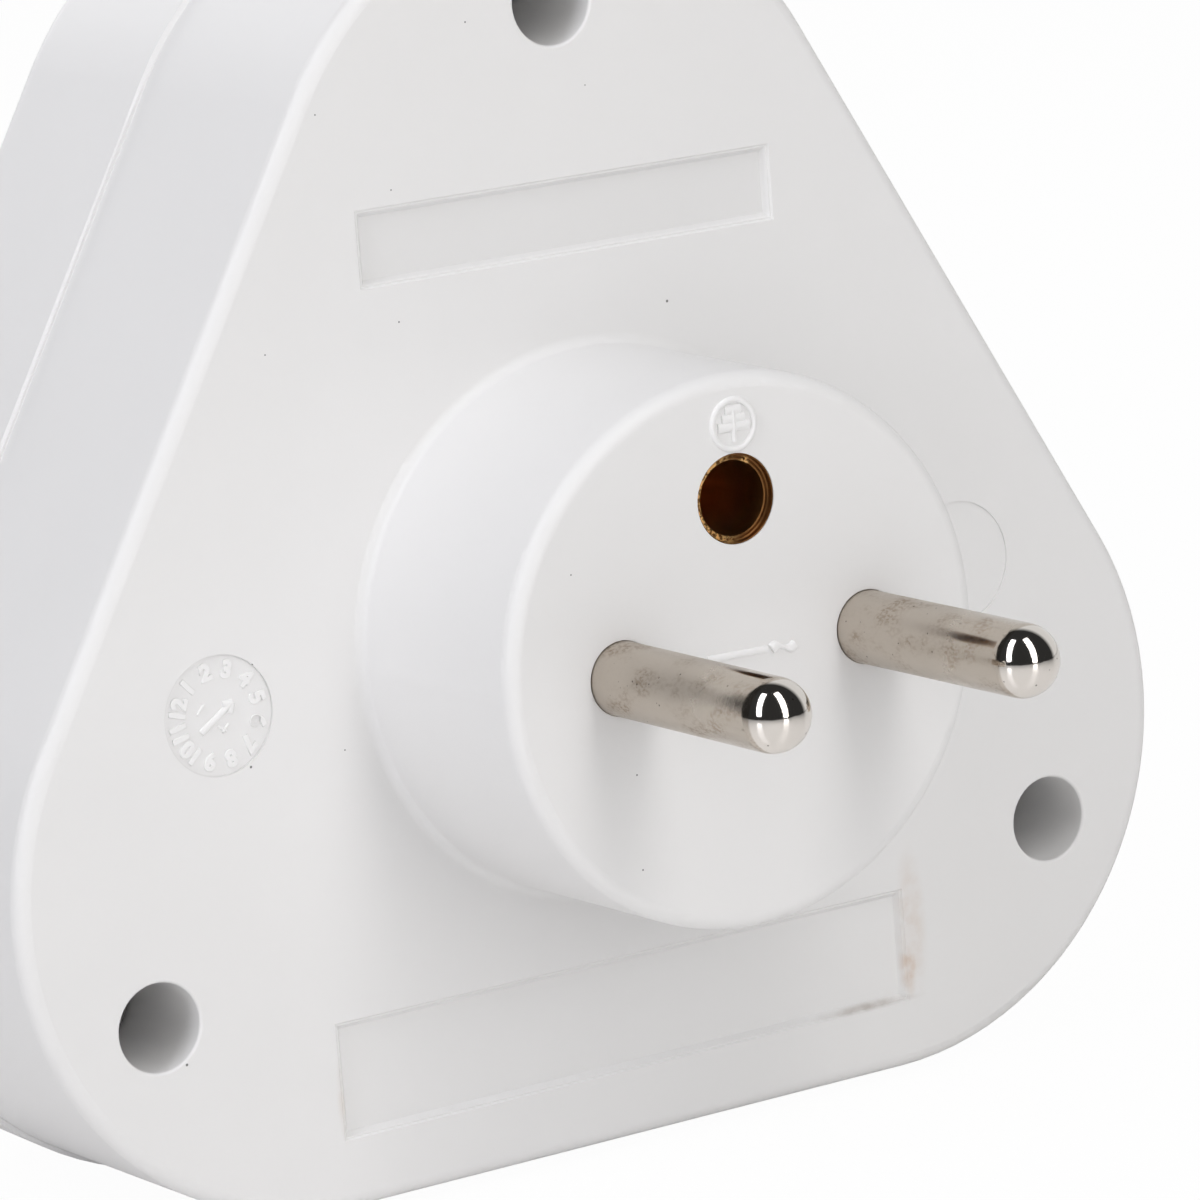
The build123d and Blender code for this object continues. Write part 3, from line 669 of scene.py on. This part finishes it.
# Floor, light and camera: a white sheet that the camera sees as white with a trace of the object's
# shadow. Far out it turns dark, as the pins' domes mirror it. The key and side softboxes stand where
# the bright strips on the domes show them.
floor_size = 6  # metres
bpy.ops.mesh.primitive_plane_add(size=floor_size, location=(0, 0, 0))
floor = bpy.context.object
floor.name = "floor"
sheet = Finish("white acrylic sheet", roughness=0.12)
seen = sheet.node("LightPath", {}, out="Is Camera Ray")
shining = sheet.node("Emission", {}, (1, 1, 1, 1), 1.0)
whitened = 0.97
surface = sheet.node("MixShader", {}, seen * whitened, Wire(sheet, sheet.shader.outputs[0]), shining)
sheet.tree.links.new(surface.socket, sheet.tree.nodes["Material Output"].inputs["Surface"])
distance = sheet.node("VectorMath", {"operation": "LENGTH"}, sheet.place, out="Value")
fade_start, fade_end = 0.35, 1.1  # metres
far_out = sheet.ramp(distance, fade_start, fade_end)
sheet.feed("Base Color", sheet.mix(far_out, (0.93, 0.92, 0.91, 1), (0.05, 0.045, 0.04, 1)))
sheet.coat(floor)

# The camera is solved from the photograph.
camera_place = Vector((228.54, 360.46, 122.73)) * mm
camera_view = Vector((-0.52528, -0.82801, -0.19618)).normalized()
camera_right = camera_view.cross(Vector((-0.17076, -0.12328, 0.97757))).normalized()
camera_up = camera_right.cross(camera_view)
camera_data = bpy.data.cameras.new("camera")
camera_data.lens = 197.955  # millimetres, as is the sensor's width
camera_data.sensor_width = 36
camera_data.clip_start = 0.01
camera = bpy.data.objects.new("camera", camera_data)
bpy.context.collection.objects.link(camera)
turn = Matrix((camera_right, camera_up, -camera_view)).transposed().to_4x4()
camera.matrix_world = Matrix.Translation(camera_place) @ turn
bpy.context.scene.camera = camera

plug_axis = Vector((0, 0, axis_height)) * mm


def softbox(name, ends, width, power, colour=(1, 1, 1)):
    """A long studio softbox between two places in metres from the plug's axis, facing that axis."""
    low, high = (Vector(end) for end in ends)
    data = bpy.data.lights.new(name, "AREA")
    data.shape = "RECTANGLE"
    data.size = width
    data.size_y = (high - low).length
    data.energy = power
    data.color = colour
    lamp = bpy.data.objects.new(name, data)
    bpy.context.collection.objects.link(lamp)
    along = (high - low).normalized()
    across = along.cross(low + high).normalized()
    facing = Matrix((across, along, across.cross(along))).transposed().to_4x4()
    lamp.matrix_world = Matrix.Translation(plug_axis + (low + high) / 2) @ facing
    return lamp


warm_white, cool_white = (1.0, 0.985, 0.98), (0.93, 0.94, 1.0)
key_ends = [(-0.05, 0.94, 0.0), (-0.05, 0.24, 0.89)]
side_ends = [(0.91, 0.26, 0.12), (0.31, -0.02, 0.90)]
rear_ends = [(-0.05, -1.0, 0.25), (0.05, -1.0, 0.6)]
softbox("key softbox", key_ends, width=0.22, power=2.5, colour=warm_white)
softbox("side softbox", side_ends, width=0.22, power=3.05, colour=cool_white)
softbox("rear softbox", rear_ends, width=0.5, power=1.6)

# A low white card in front fills the shadows. It is hidden from mirror rays, because polished metal
# would show its edges.
card_ends = [(-0.12, 0.22, -0.034), (0.32, 0.12, -0.034)]
card = softbox("low card", card_ends, width=0.2, power=0.15)
card.visible_camera = card.visible_glossy = False


class Surroundings(Finish):
    """The world, whose background shader is fed in the same way."""

    def __init__(self, name):
        world = bpy.data.worlds.new(name)
        world.use_nodes = True
        bpy.context.scene.world = world
        self.tree = world.node_tree
        self.shader = self.tree.nodes["Background"]
        self.shader.inputs["Color"].default_value = (1, 1, 1, 1)


# The world gives even white light, except to mirror rays. Those see a dark room in front of the
# object and a white backdrop behind it.
even_light = 0.385
dark_room, white_backdrop = 0.03, 0.75
studio = Surroundings("studio")
behind = studio.node(
    "VectorMath",
    {"operation": "DOT_PRODUCT"},
    studio.node("TexCoord", {}, out="Generated"),
    (-1, -1, 0),
    out="Value",
)
mirrored = studio.node("MapRange", {}, behind, 0.55, 0.85, dark_room, white_backdrop)
glossy = studio.node("LightPath", {}, out="Is Glossy Ray")
studio.feed("Strength", studio.node("MapRange", {}, glossy, 0.0, 1.0, even_light, mirrored))
bpy.context.scene.view_settings.view_transform = "Standard"
